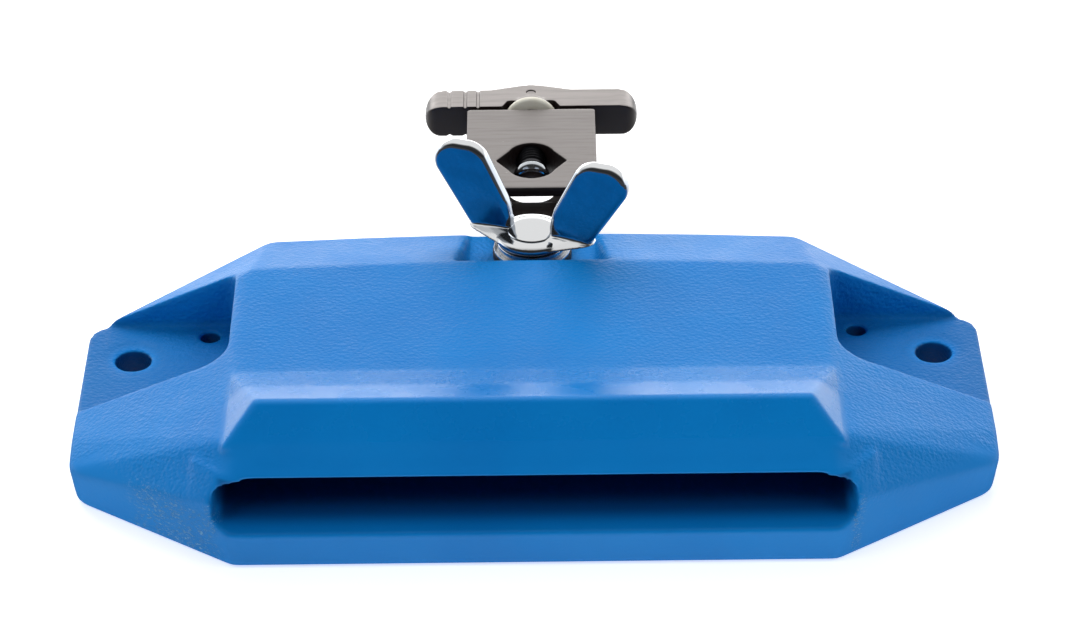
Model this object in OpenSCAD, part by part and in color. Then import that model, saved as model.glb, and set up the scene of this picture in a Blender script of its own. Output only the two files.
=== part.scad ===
// Moulded woodblock with a slot chamber and a swivelling rod clamp.
// Millimetres. X runs along the block, Y to the back, Z up.
// The origin is the middle of the block's flat underside.

/* [Block] */
// Length over the two ends
block_length = 230; // [200:1:260]
// Depth from the front face to the rear corners
block_depth = 116; // [106:1:130]
// Height of the flat top
top_height = 28.7; // [27:0.1:32]
// Height of the mould's parting line, where the walls are widest
belly_height = 10.7; // [9:0.1:12]
// How far the walls lean in from the parting line to the underside
wall_draft = 1.2; // [0.4:0.1:2]
// Length of the straight front face
front_length = 148; // [130:1:156]
// Length of the straight rear face
rear_length = 143; // [130:1:156]
// How far the middle of the rear face bows out
rear_bow = 2.6; // [1:0.1:5]
// Length of each end face, front to back
end_face = 61.6; // [50:0.1:70]
// How far the end faces' middle lies behind the block's middle
end_shift = 1.2; // [0:0.1:3]
// Height at the top of the end faces
end_top = 12; // [11.2:0.1:16]
// Height at the top of the upright front face
front_wall_top = 19; // [15:0.1:20]
// Depth of the slope from the front face up to the flat top
front_slope_depth = 12; // [10:0.1:16]
// How far the front slope's corner on an end face lies behind the wall's corner
end_step = 5; // [2:0.1:8]
// Length of the flat top
top_length = 149; // [140:1:160]
// Depth of the bevel along the rear of the top
rear_bevel_depth = 23.4; // [18:0.1:28]
// Height at the rear edge, below the bevel
rear_top = 22.3; // [20:0.1:25]
// Plan radius of the end corners
end_corner_r = 7; // [4:0.5:10]
// Plan radius of the front and rear corners
side_corner_r = 4; // [2:0.5:6]
// Rounding of the level edges
edge_round = 1.3; // [0.6:0.1:2]

/* [Ridge] */
// Height of the crest
crest_height = 36.3; // [33:0.1:40]
// Distance of the crest behind the front face
crest_setback = 20; // [17:0.5:24]
// Length of the crest
crest_length = 133.2; // [120:0.2:140]
// Depth of the long rear ramp, from the crest to the flat top
ramp_depth = 25; // [18:0.1:28]
// Length of the ridge's foot
ridge_length = 150.4; // [142:0.2:156]
// Radius along the crest
crest_r = 1.5; // [0.8:0.1:2.5]

/* [Slot chamber] */
// Length of the slot's mouth
slot_length = 156; // [140:1:164]
// Height of the slot
slot_height = 12.2; // [10:0.1:12.6]
// Height of the lip below the slot
slot_floor = 10.6; // [9:0.1:11]
// Radius of the slot's corners
slot_corner_r = 5; // [3:0.1:5.5]
// Depth of the chamber behind the front face
chamber_depth = 88; // [70:1:89]
// Length of the chamber at its back
chamber_back = 140; // [120:1:142]

/* [Ear pockets] */
// Height of the pockets' floor
pocket_floor = 10.9; // [10:0.1:11.8]
// Length between the two pockets' inner walls
pocket_span = 152.4; // [148:0.2:156]
// Depth of a pocket, front to back
pocket_depth = 40.2; // [36:0.2:44]
// How far a pocket's middle lies behind the block's middle
pocket_shift = 14.4; // [12:0.1:16]
// Radius of a pocket's front inner corner
pocket_front_r = 7; // [3:0.5:9]
// Radius of a pocket's rear inner corner
pocket_rear_r = 3; // [1:0.5:5]
// Distance between the two large holes
ear_hole_spacing = 205.2; // [200:0.2:212]
// How far the large holes lie behind the block's middle
ear_hole_shift = 18.8; // [16:0.1:21]
// Diameter of the large holes
ear_hole_d = 9; // [6:0.1:10]
// Diameter of the seat milled round a large hole
ear_seat_d = 16.5; // [14:0.1:18]
// Depth of that seat
ear_seat_depth = 0.3; // [0.1:0.1:0.6]
// Distance between the two small holes
pilot_spacing = 167; // [164:0.2:172]
// How far the small holes lie behind the block's middle
pilot_shift = 29.2; // [26:0.1:30]
// Diameter of the small holes
pilot_d = 5.1; // [3:0.1:6]

/* [Clamp seat] */
// Distance of the bolt's axis in front of the rear corners
bolt_inset = 9.8; // [9:0.1:11]
// Height of the notch's floor
notch_floor = 21.6; // [20.6:0.1:22]
// Width of the notch's floor
notch_width = 33; // [30:0.5:38]
// How far each side wall of the notch leans out, up to the flat top
notch_lean = 3.9; // [2:0.1:6]
// Gap between the round end of the tongue and the notch's front wall
notch_gap = 0.7; // [0.4:0.1:1.2]
// Diameter of the bolt
bolt_d = 10; // [8:0.1:10.5]
// Diameter of the bolt's head
bolt_head_d = 17.6; // [16:0.1:18]
// Height of the bolt's domed head
bolt_head_height = 4.4; // [3:0.1:5]
// Width of the square neck
neck_width = 10; // [9:0.1:10.5]
// Height of the square neck
neck_height = 5.6; // [4:0.1:7]
// Depth of the recess for the head
head_recess = 5; // [4.6:0.1:6]
// Thickness of the grip ring
grip_ring_t = 0.4; // [0.3:0.1:0.8]
// Diameter of the grip ring
grip_ring_d = 19.6; // [16:0.1:20]

/* [Wing nut] */
// Diameter of the flat washer
washer_d = 20; // [18:0.1:20.4]
// Thickness of the flat washer
washer_t = 0.8; // [0.6:0.1:1.2]
// Diameter of the split lock washer
lock_washer_d = 18; // [16:0.1:19]
// Thickness of the split lock washer
lock_washer_t = 1.8; // [1.2:0.1:2.2]
// Width of the slit in the lock washer
lock_slit = 1.4; // [0.8:0.1:2]
// Diameter of the hub's foot
hub_foot_d = 16.6; // [15:0.1:18]
// Diameter of the hub's shoulder, its widest place
hub_shoulder_d = 19.2; // [18:0.1:20]
// Diameter of the raised disc that closes the hub's top
hub_top_d = 13; // [12.4:0.1:14]
// Height of the hub
hub_height = 3.9; // [3.6:0.1:5]
// Thickness of the closed top over the bolt's end
hub_cap_t = 1; // [0.8:0.1:1.2]
// Span over the two wings
wing_span = 53.2; // [48:0.2:58]
// Height of the wings' tips above the hub's foot
wing_height = 26.6; // [24:0.2:30]
// Thickness of a wing
wing_t = 4.2; // [3:0.1:5]
// Rounding at a wing's rim
wing_rim = 1.4; // [0.8:0.1:1.8]
// Height of the web at a wing's foot
web_height = 3; // [2:0.1:4]
// How far the nut stands turned from the block's length
nut_turn = -20; // [-40:1:40]

/* [Clamp body] */
// Width of the clamp's body
body_width = 35; // [32:0.5:40]
// Height of the clamp's body
body_height = 10.2; // [9.8:0.1:12]
// Height of the clamp's underside
body_bottom = 19.9; // [19:0.1:20.4]
// Distance of the body's front face behind the bolt's axis
body_setback = 21.8; // [20.5:0.1:24]
// Length of the body, front to back
body_length = 43; // [41:0.5:48]
// Radius of the body's upright corners
body_corner_r = 2; // [1:0.1:4]
// Rounding along the body's level edges
body_edge_r = 1.2; // [0.6:0.1:2]
// Thickness of the tongue
tongue_t = 2.6; // [2:0.1:3.2]
// Width of the tongue and of its round end
tongue_width = 20.6; // [19:0.1:21]
// How far the tongue's straight sides stand in from its round end
tongue_step = 0.4; // [0.2:0.1:1]
// Radius of the hollow between the tongue and the body
tongue_root_r = 1.6; // [0.6:0.1:2]
// Thickness of the wall in front of the rod hole
front_wall = 5.2; // [4:0.1:7]
// Thickness of the lip above the open throat in that wall
upper_lip = 2.9; // [2.4:0.1:3.6]
// Thickness of the lip below it, at the rod hole
lower_lip = 2.5; // [2:0.1:3.2]
// Width of the throat
throat_width = 25; // [20:0.5:28]
// Depth of the rod hole, front to back
rod_hole_depth = 18.3; // [16:0.1:19]
// Width of the rod hole over its pointed sides
rod_hole_width = 18.9; // [16:0.1:20]
// Largest rod that the hole's round ends seat
rod_d = 12.7; // [9:0.1:13]

/* [Clamp screw] */
// Diameter of the clamp screw
screw_d = 8; // [6:0.1:8.2]
// Running clearance round a turning shaft, at the radius
running_gap = 0.05; // [0.02:0.01:0.1]
// Diameter of the pad
pad_d = 10; // [9:0.1:10.4]
// Thickness of the pad
pad_t = 4.2; // [4:0.1:4.6]
// Distance of the pad's face behind the rod hole's front
pad_gap = 6.8; // [6:0.1:7]
// Diameter of the screw's tip, inside the pad
tip_d = 5; // [4:0.1:6]
// Length of the screw's tip, inside the pad
tip_length = 3.2; // [2.6:0.1:3.4]
// Thickness of the ring on the tip
tip_ring_t = 0.8; // [0.6:0.1:1]
// Diameter of the ring on the tip
tip_ring_d = 6.6; // [6.2:0.1:7]
// Diameter of the washer in front of the handle
handle_washer_d = 14.6; // [12:0.1:16]
// Thickness of the washer in front of the handle
handle_washer_t = 1.6; // [1:0.1:2]
// Gap between the body's rear face and that washer
handle_gap = 0.4; // [0.3:0.1:1]

/* [T-handle] */
// Length over the handle's two arms
handle_length = 58.4; // [50:0.2:66]
// Height of the handle's arms
handle_height = 9.4; // [8:0.1:11]
// Depth of the handle's arms, front to back
handle_depth = 9.2; // [8:0.1:11]
// How far the handle's middle sweeps back from its arms
handle_sweep = 3.2; // [2:0.1:5]
// Diameter of the neck in front of the handle
handle_neck_d = 12; // [11:0.1:13]
// Radius at the handle's plan corners
handle_corner_r = 3; // [1:0.1:4]
// Width of a finger groove
groove_width = 1; // [0.6:0.1:1.4]
// Depth of a finger groove
groove_depth = 0.5; // [0.3:0.1:0.8]
// Diameter of the pin through the hub
pin_d = 2.5; // [2:0.1:3]

/* [Hidden] */

// Overrun of every cut
over = 1;
// Clearance round a bolt or a journal that isn't a running fit
loose = 0.3;
// Steps of a drawn corner
arc_steps = 6;

end_x = block_length / 2;
front_y = -block_depth / 2;
rear_y = block_depth / 2;
bolt_setback = rear_y - bolt_inset;
front_x = front_length / 2;
rear_x = rear_length / 2;
top_x = top_length / 2;
end_front_y = end_shift - end_face / 2;
end_rear_y = end_shift + end_face / 2;
shoulder_y = front_y + front_slope_depth;
bevel_y = rear_y + rear_bow - rear_bevel_depth;
// Shares of the rear's half length at which the bowed rear is drawn
bow_shares = [0, 0.33, 0.66, 1];

crest_y = front_y + crest_setback;
ridge_rear_y = crest_y + ramp_depth;
// How far the ridge's foot is sunk in the flat top
ridge_sink = 1.5;
ridge_foot_r = 0.8;

chamber_y = front_y + chamber_depth;
slot_top = slot_floor + slot_height;
pocket_x = pocket_span / 2;
pocket_front_y = pocket_shift - pocket_depth / 2;
pocket_rear_y = pocket_shift + pocket_depth / 2;

tongue_bottom = notch_floor + grip_ring_t;
tongue_top = tongue_bottom + tongue_t;
hub_bottom = tongue_top + washer_t + lock_washer_t;
hub_top = hub_bottom + hub_height;
notch_y = bolt_setback - tongue_width / 2 - notch_gap;
bolt_end = hub_top - hub_cap_t - loose;
// How far out along the wing span the web reaches
web_share = 0.3;
bolt_bore_d = bolt_d + 2 * loose;

body_y = bolt_setback + body_setback;
body_rear_y = body_y + body_length;
body_top = body_bottom + body_height;
axis_z = body_bottom + body_height / 2;
hole_front_y = body_y + front_wall;
hole_rear_y = hole_front_y + rod_hole_depth;
hole_mid_y = (hole_front_y + hole_rear_y) / 2;
rod_seat_r = rod_d / 2 + running_gap;

pad_y = hole_front_y + pad_gap;
pad_rear_y = pad_y + pad_t;
tip_y = pad_rear_y - tip_length;
ring_y = tip_y + loose;
washer_y = body_rear_y + handle_gap;
neck_y = washer_y + handle_washer_t;
arm_y = body_rear_y + handle_gap + handle_washer_t / 2;
hub_y = arm_y + handle_sweep;
hub_rear_y = hub_y + handle_depth;
pin_y = hub_y + handle_depth / 2;
// The screw stops this far inside the handle's rear face
screw_inset = 1.5;
screw_end_y = hub_rear_y - screw_inset;

function unit(v) = v / norm(v);
function spin(v, a) = [v.x * cos(a) - v.y * sin(a), v.x * sin(a) + v.y * cos(a)];

// Points of the arc that rounds the corner b of the path a, b, c
function corner_arc(a, b, c, r) =
  let (
    u = unit(a - b),
    w = unit(c - b),
    half = acos(u * w) / 2,
    middle = b + unit(u + w) * r / sin(half),
    start = b + u * r / tan(half) - middle,
    turn = -sign(cross(u, w)) * (180 - 2 * half)
  )
  [for (i = [0 : arc_steps]) middle + spin(start, turn * i / arc_steps)];

// An outline from corners written as [x, y, radius]
function rounded(corners) =
  let (n = len(corners))
  [for (i = [0 : n - 1])
    let (
      before = corners[(i + n - 1) % n],
      here = corners[i],
      after = corners[(i + 1) % n]
    )
    each corner_arc([before.x, before.y], [here.x, here.y], [after.x, after.y], here.z)];

module both_sides() {
  children();
  mirror([1, 0, 0]) children();
}

module turned_to_y() {
  rotate([-90, 0, 0]) children();
}

// A puck with rounded level edges, from z - edge_round * 2 to z, which marks a corner of a shell
module puck(x, y, z, r) {
  profile = [for (i = [-3 : 3])
    [r - edge_round + edge_round * cos(30 * i), edge_round * (sin(30 * i) - 1)]];
  translate([x, y, z])
    rotate_extrude($fn = 32)
      polygon(concat([[0, -2 * edge_round]], profile, [[0, 0]]));
}

// Half of the block without its ridge, drawn as its corners
module shell_corners() {
  inset = wall_draft;
  r = end_corner_r;
  s = side_corner_r;
  low = 2 * edge_round;
  // underside
  puck(front_x - s * 0.5, front_y + s + inset, low, s);
  puck(end_x - r - inset, end_front_y + r * 0.6, low, r);
  puck(end_x - r - inset, end_rear_y - r * 0.6, low, r);
  // parting line and the walls above it
  puck(front_x - s * 0.5, front_y + s, belly_height, s);
  puck(front_x - s * 0.5, front_y + s, front_wall_top, s);
  puck(end_x - r, end_front_y + r * 0.6, belly_height, r);
  puck(end_x - r, end_rear_y - r * 0.6, end_top, r);
  puck(end_x - r, end_front_y + end_step + r, end_top, r);
  // flat top
  puck(top_x - s, shoulder_y + s, top_height, s);
  puck(top_x - s, bevel_y - rear_bow - s, top_height, s);
  for (share = bow_shares) {
    bow = rear_bow * (1 - share * share);
    x = (rear_x - s) * share;
    puck(x, rear_y + bow - s - inset, low, s);
    puck(x, rear_y + bow - s, belly_height, s);
    puck(x, rear_y + bow - s, rear_top, s);
    puck(x, bevel_y - rear_bow + bow - s, top_height, s);
  }
}

module ridge() {
  // The foot ends inside the shell, so that the faces run out on it without a step
  foot_h = ridge_sink / 2;
  hull()
    both_sides() {
      translate([crest_length / 2, crest_y, crest_height - crest_r])
        sphere(r = crest_r, $fn = 24);
      for (y = [shoulder_y + ridge_foot_r / 2, ridge_rear_y])
        translate([ridge_length / 2 - ridge_foot_r, y, top_height - ridge_sink])
          cylinder(r = ridge_foot_r, h = foot_h, $fn = 16);
    }
}

// The slot's section, drawn with x along the block and y up
module slot_section() {
  x = slot_length / 2 - slot_corner_r;
  y = slot_height / 2 - slot_corner_r;
  square([slot_length, 2 * y], center = true);
  square([2 * x, slot_height], center = true);
  for (sx = [-x, x], sy = [-y, y])
    translate([sx, sy]) circle(r = slot_corner_r, $fn = 48);
}

module chamber() {
  mid_z = slot_floor + slot_height / 2;
  intersection() {
    translate([0, front_y - over, mid_z])
      turned_to_y()
        linear_extrude(height = chamber_depth + over)
          slot_section();
    translate([0, 0, slot_floor - over])
      linear_extrude(height = slot_height + 2 * over)
        polygon([
          [-slot_length / 2, front_y - over], [slot_length / 2, front_y - over],
          [chamber_back / 2, chamber_y], [-chamber_back / 2, chamber_y]
        ]);
  }
}

module ear_pocket() {
  past_end = end_x + over;
  translate([0, 0, pocket_floor])
    linear_extrude(height = top_height)
      polygon(concat(
        corner_arc([past_end, pocket_rear_y], [pocket_x, pocket_rear_y],
                   [pocket_x, pocket_front_y], pocket_rear_r),
        corner_arc([pocket_x, pocket_rear_y], [pocket_x, pocket_front_y],
                   [past_end, pocket_front_y], pocket_front_r),
        [[past_end, pocket_front_y], [past_end, pocket_rear_y]]
      ));
}

module ear_holes() {
  translate([ear_hole_spacing / 2, ear_hole_shift, 0]) {
    translate([0, 0, -over])
      cylinder(d = ear_hole_d, h = pocket_floor + 2 * over, $fn = 64);
    translate([0, 0, pocket_floor - ear_seat_depth])
      cylinder(d = ear_seat_d, h = top_height, $fn = 96);
  }
  translate([pilot_spacing / 2, pilot_shift, -over])
    cylinder(d = pilot_d, h = pocket_floor + 2 * over, $fn = 48);
}

module clamp_notch() {
  half = notch_width / 2;
  rise = top_height - notch_floor;
  lean = notch_lean * (rise + over) / rise;
  translate([0, rear_y + rear_bow + over, notch_floor])
    rotate([90, 0, 0])
      linear_extrude(height = rear_y + rear_bow + over - notch_y)
        polygon([
          [-half, 0], [half, 0], [half + lean, rise + over], [-half - lean, rise + over]
        ]);
}

module bolt_holes() {
  translate([0, bolt_setback, -over]) {
    cylinder(d = bolt_bore_d, h = top_height, $fn = 64);
    cylinder(d = bolt_head_d + 2 * loose, h = head_recess + over, $fn = 96);
    translate([0, 0, (head_recess + neck_height + over) / 2])
      cube([neck_width + loose, neck_width + loose, head_recess + neck_height + over],
           center = true);
  }
}

module block_shell() {
  color("royalblue")
    difference() {
      union() {
        hull() both_sides() shell_corners();
        ridge();
      }
      chamber();
      both_sides() {
        ear_pocket();
        ear_holes();
      }
      clamp_notch();
      bolt_holes();
    }
}

module carriage_bolt() {
  head_z = head_recess - bolt_head_height;
  neck_side = neck_width;
  color("silver")
    translate([0, bolt_setback, 0]) {
      // domed head, cut flat below
      rotate_extrude($fn = 64)
        polygon(concat(
          [[0, head_recess], [bolt_head_d / 2, head_recess]],
          [for (a = [0 : 15 : 75])
            [bolt_head_d / 2 * cos(a), head_z + (bolt_head_height - loose) * (1 - sin(a))]],
          [[0, head_z]]
        ));
      translate([0, 0, head_recess + neck_height / 2])
        cube([neck_side, neck_side, neck_height], center = true);
      translate([0, 0, head_recess])
        cylinder(d = bolt_d, h = bolt_end - head_recess - loose, $fn = 64);
      translate([0, 0, bolt_end - loose])
        cylinder(d1 = bolt_d, d2 = bolt_d - 2 * loose, h = loose, $fn = 64);
    }
}

module flat_ring(outer_d, inner_d, t) {
  difference() {
    cylinder(d = outer_d, h = t, $fn = 96);
    translate([0, 0, -over]) cylinder(d = inner_d, h = t + 2 * over, $fn = 64);
  }
}

module grip_ring() {
  color("dimgray")
    translate([0, bolt_setback, notch_floor])
      flat_ring(grip_ring_d, bolt_bore_d, grip_ring_t);
}

module nut_washer() {
  color("gainsboro")
    translate([0, bolt_setback, tongue_top])
      flat_ring(washer_d, bolt_bore_d, washer_t);
}

module lock_washer() {
  color("silver")
    translate([0, bolt_setback, tongue_top + washer_t])
      difference() {
        flat_ring(lock_washer_d, bolt_bore_d, lock_washer_t);
        rotate([0, 0, nut_turn + 90])
          translate([0, -lock_slit / 2, -over])
            cube([lock_washer_d, lock_slit, lock_washer_t + 2 * over]);
      }
}

// A wing's outline beside the nut's axis, with x outwards and y up from the hub's foot
function wing_outline(inset) =
  let (
    tip = wing_span / 2 - inset,
    top = wing_height - inset,
    root = bolt_d / 2 + inset
  )
  rounded([
    [root, hub_height * 0.5 + inset, 0.4],
    [tip * 0.61, hub_height * 0.56 + inset, 3],
    [tip * 1.03, top * 0.765, 5],
    [tip * 0.905, top, 5.5],
    [tip * 0.51, top, 6],
    [tip * 0.226, top * 0.395, 3],
    [root + inset * 0.5, hub_height * 1.5 - inset, 1]
  ]);

module wing() {
  hull() {
    turned_up(wing_t) polygon(wing_outline(wing_rim));
    turned_up(wing_t - 2 * wing_rim) polygon(wing_outline(0));
  }
}

// The web that spreads a wing's foot over the hub's shoulder
module wing_web() {
  low = hub_height * 0.49;
  hull() {
    translate([0, 0, low]) cylinder(r = hub_shoulder_d / 2 - loose, h = hub_height * 0.16, $fn = 48);
    translate([wing_span * web_share, 0, low])
      cylinder(r = wing_t / 2, h = web_height, $fn = 32);
  }
}

module turned_up(t) {
  rotate([90, 0, 0])
    linear_extrude(height = t, center = true)
      children();
}

module wing_nut() {
  h = hub_height;
  foot = hub_foot_d / 2;
  shoulder = hub_shoulder_d / 2;
  disc = hub_top_d / 2;
  step = shoulder - foot;
  color("gainsboro")
    translate([0, bolt_setback, hub_bottom])
      rotate([0, 0, nut_turn])
        difference() {
          union() {
            rotate_extrude($fn = 96)
              polygon([
                [0, 0], [foot, 0], [foot + step * 0.5, h * 0.12],
                [foot + step * 0.9, h * 0.3], [shoulder, h * 0.48],
                [shoulder - step * 0.4, h * 0.64], [disc + step, h * 0.82],
                [disc + step * 0.3, h * 0.87], [disc, h * 0.87],
                [disc, h * 0.96], [disc - step * 0.3, h], [0, h]
              ]);
            both_sides() {
              wing();
              wing_web();
            }
          }
          translate([0, 0, -over])
            cylinder(r = bolt_d / 2 + running_gap, h = hub_height - hub_cap_t + over, $fn = 64);
        }
}

// The rod hole: two round seats, with straight flanks that meet in a point at each side
module rod_hole() {
  k = rod_hole_depth / 2 - rod_seat_r;
  half = rod_hole_width / 2;
  reach = norm([half, k]);
  lean = acos(rod_seat_r / reach) - atan(k / half);
  // each flank runs on just inside the round seat
  inner_r = rod_seat_r * 0.97;
  flank = [inner_r * cos(lean), k + inner_r * sin(lean)];
  translate([0, hole_mid_y, body_bottom - over]) {
    linear_extrude(height = body_height + 2 * over)
      polygon([
        [half, 0], [flank.x, flank.y], [-flank.x, flank.y],
        [-half, 0], [-flank.x, -flank.y], [flank.x, -flank.y]
      ]);
    for (y = [-k, k])
      translate([0, y, 0])
        cylinder(r = rod_seat_r, h = body_height + 2 * over, $fn = 96);
  }
}

module body_block() {
  half = body_width / 2;
  intersection() {
    translate([0, 0, body_bottom])
      linear_extrude(height = body_height)
        polygon(rounded([
          [-half, body_y, body_corner_r * 2], [half, body_y, body_corner_r * 2],
          [half, body_rear_y, body_corner_r], [-half, body_rear_y, body_corner_r]
        ]));
    translate([-half, 0, 0])
      rotate([90, 0, 90])
        linear_extrude(height = body_width)
          polygon(rounded([
            [body_y, body_bottom, body_edge_r], [body_rear_y, body_bottom, body_edge_r],
            [body_rear_y, body_top, body_edge_r * 1.5], [body_y, body_top, body_edge_r / 2]
          ]));
  }
}

module tongue() {
  half = tongue_width / 2 - tongue_step;
  r = tongue_root_r;
  translate([0, bolt_setback, tongue_bottom])
    cylinder(d = tongue_width, h = tongue_t, $fn = 96);
  // the strip and the hollow under its root, as one profile
  translate([-half, 0, 0])
    rotate([90, 0, 90])
      linear_extrude(height = 2 * half)
        polygon(concat(
          [[bolt_setback, tongue_top], [bolt_setback, tongue_bottom]],
          [for (a = [90 : -15 : 0])
            [body_y - r + r * cos(a), tongue_bottom - r + r * sin(a)]],
          [[body_y + over, tongue_bottom - r], [body_y + over, tongue_top]]
        ));
}

// The open throat in the front wall, whose floor falls from the tongue to the rod hole
module throat() {
  roof = body_top - upper_lip;
  floor_back = body_bottom + lower_lip;
  lip_y = body_y + front_wall * 0.3;
  translate([-throat_width / 2, 0, 0])
    rotate([90, 0, 90])
      linear_extrude(height = throat_width)
        polygon([
          [body_y - tongue_root_r - over, tongue_top], [lip_y, tongue_top],
          [hole_front_y, floor_back], [hole_mid_y, floor_back],
          [hole_mid_y, roof], [body_y - tongue_root_r - over, roof]
        ]);
}

module clamp_body() {
  color("dimgray")
    difference() {
      union() {
        body_block();
        tongue();
      }
      throat();
      rod_hole();
      translate([0, bolt_setback, tongue_bottom - over])
        cylinder(r = bolt_d / 2 + running_gap, h = tongue_t + 2 * over, $fn = 64);
      translate([0, hole_mid_y, axis_z])
        turned_to_y()
          cylinder(r = screw_d / 2 + running_gap, h = body_rear_y - hole_mid_y + over, $fn = 64);
    }
}

module clamp_screw() {
  color("silver")
    difference() {
      translate([0, 0, axis_z]) {
        translate([0, pad_rear_y, 0])
          turned_to_y() cylinder(d = screw_d, h = screw_end_y - pad_rear_y, $fn = 64);
        difference() {
          translate([0, tip_y, 0])
            turned_to_y() cylinder(d = tip_d, h = tip_length + over, $fn = 48);
          translate([0, ring_y, 0])
            turned_to_y() flat_ring(tip_d + over, tip_d - 2 * loose, tip_ring_t);
        }
      }
      pin_bore();
    }
}

module swivel_pad() {
  r = pad_d / 2;
  color("gainsboro")
    translate([0, pad_y, axis_z])
      turned_to_y()
        difference() {
          rotate_extrude($fn = 64)
            polygon([
              [0, pad_t * 0.1], [r * 0.5, pad_t * 0.03], [r * 0.8, 0], [r, pad_t * 0.12],
              [r, pad_t * 0.5], [r * 0.64, pad_t], [0, pad_t]
            ]);
          translate([0, 0, tip_y - pad_y - loose / 2])
            cylinder(r = tip_d / 2 + running_gap, h = pad_t, $fn = 48);
          translate([0, 0, ring_y - pad_y - loose / 2])
            cylinder(d = tip_ring_d + loose, h = tip_ring_t + loose, $fn = 48);
        }
}

module tip_ring() {
  color("dimgray")
    translate([0, ring_y, axis_z])
      turned_to_y() flat_ring(tip_ring_d, tip_d - 2 * loose, tip_ring_t);
}

module handle_washer() {
  r = handle_washer_d / 2;
  crown = handle_washer_t * 0.5;
  color("ivory")
    translate([0, washer_y, axis_z])
      turned_to_y()
        rotate_extrude($fn = 96)
          polygon([
            [screw_d / 2, 0], [r - crown, 0], [r - crown * 0.3, crown * 0.3], [r, crown],
            [r, handle_washer_t], [screw_d / 2, handle_washer_t]
          ]);
}

module pin_bore() {
  translate([0, pin_y, axis_z - handle_height])
    cylinder(d = pin_d, h = 2 * handle_height, $fn = 32);
}

// Half of the handle's plan outline, from the rear middle round the arm's end
function handle_plan() =
  let (
    half = handle_length / 2,
    hub = handle_neck_d / 2,
    knee = hub * 1.9,
    r = handle_corner_r
  )
  rounded([
    [0, hub_rear_y, hub * 2], [knee, arm_y + handle_depth, hub * 2],
    [half, arm_y + handle_depth, r * 1.5], [half, arm_y, r],
    [knee, arm_y, hub], [hub, hub_y, r], [-hub, hub_y, r], [-knee, arm_y, hub],
    [-half, arm_y, r], [-half, arm_y + handle_depth, r * 1.5],
    [-knee, arm_y + handle_depth, hub * 2]
  ]);

// Shares of the handle's half length at which the finger grooves lie
groove_shares = [0.77, 0.62, 0.5];

module t_handle() {
  end_r = handle_height / 2;
  bar = handle_length - handle_height;
  color("black")
    difference() {
      union() {
        intersection() {
          translate([0, 0, axis_z - end_r])
            linear_extrude(height = handle_height)
              polygon(handle_plan());
          translate([0, arm_y - over, axis_z])
            turned_to_y()
              linear_extrude(height = handle_depth + handle_sweep + 2 * over) {
                square([bar, handle_height], center = true);
                for (x = [-bar / 2, bar / 2]) translate([x, 0]) circle(r = end_r, $fn = 64);
              }
        }
        translate([0, neck_y, axis_z])
          turned_to_y() cylinder(d = handle_neck_d, h = hub_y - neck_y + over, $fn = 64);
      }
      translate([0, neck_y - over, axis_z])
        turned_to_y() cylinder(d = screw_d, h = screw_end_y - neck_y + over, $fn = 64);
      for (share = groove_shares, side = [-1, 1])
        translate([-handle_length / 2 * share - groove_width / 2, arm_y - over,
                   axis_z + side * (end_r - groove_depth / 2) - groove_depth / 2 - (side < 0 ? over : 0)])
          cube([groove_width, handle_depth + handle_sweep + 2 * over, groove_depth + over]);
      pin_bore();
    }
}

module handle_pin() {
  color("silver")
    translate([0, pin_y, axis_z - handle_height / 2 + loose])
      cylinder(d = pin_d, h = handle_height - 2 * loose, $fn = 32);
}

block_shell();
carriage_bolt();
grip_ring();
clamp_body();
nut_washer();
lock_washer();
wing_nut();
clamp_screw();
swivel_pad();
tip_ring();
handle_washer();
t_handle();
handle_pin();
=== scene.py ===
import math
import bpy
from mathutils import Euler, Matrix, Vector


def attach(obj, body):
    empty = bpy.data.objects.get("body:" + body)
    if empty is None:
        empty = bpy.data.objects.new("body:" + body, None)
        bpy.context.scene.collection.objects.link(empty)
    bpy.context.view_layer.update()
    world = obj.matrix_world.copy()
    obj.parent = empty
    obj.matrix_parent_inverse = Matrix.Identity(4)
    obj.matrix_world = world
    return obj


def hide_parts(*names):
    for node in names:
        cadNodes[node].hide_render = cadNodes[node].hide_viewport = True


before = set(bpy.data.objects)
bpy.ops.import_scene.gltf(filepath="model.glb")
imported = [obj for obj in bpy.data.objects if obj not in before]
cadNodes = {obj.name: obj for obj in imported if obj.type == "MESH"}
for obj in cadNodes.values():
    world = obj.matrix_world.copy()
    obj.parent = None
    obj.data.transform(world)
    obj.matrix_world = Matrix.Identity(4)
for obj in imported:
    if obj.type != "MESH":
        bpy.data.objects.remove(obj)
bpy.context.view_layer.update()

millimetre = 0.001
print("woodblock: frame loaded,", len(cadNodes), "nodes")


edgeAngle = 40            # degrees: edges sharper than this are broken
smoothAngle = 36          # degrees: edges sharper than this stay sharp in the shading
closeBy = 0.00005         # metres: places this near are taken for the same one
veryClose = 0.000001
mergeGaps = {
    # metres: corners nearer than this become one
    "seam": 0.00001,
    "copy": 0.000004,
    "twin": 0.000002,
    "thread": 0.000001,
}


def metres(values):
    # millimetres in, the scene's metres out
    return [value * millimetre for value in values]


def objectMode():
    if bpy.context.mode != "OBJECT":
        bpy.ops.object.mode_set(mode="OBJECT")


def pickNothing():
    objectMode()
    bpy.ops.object.select_all(action="DESELECT")


def pickOnly(piece):
    pickNothing()
    piece.hide_set(False)
    piece.select_set(True)
    bpy.context.view_layer.objects.active = piece


def editAll(piece):
    pickOnly(piece)
    bpy.ops.object.mode_set(mode="EDIT")
    bpy.ops.mesh.select_all(action="SELECT")


def nameNew(name):
    piece = bpy.context.active_object
    piece.name = name
    piece.data.name = name
    return piece


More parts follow.
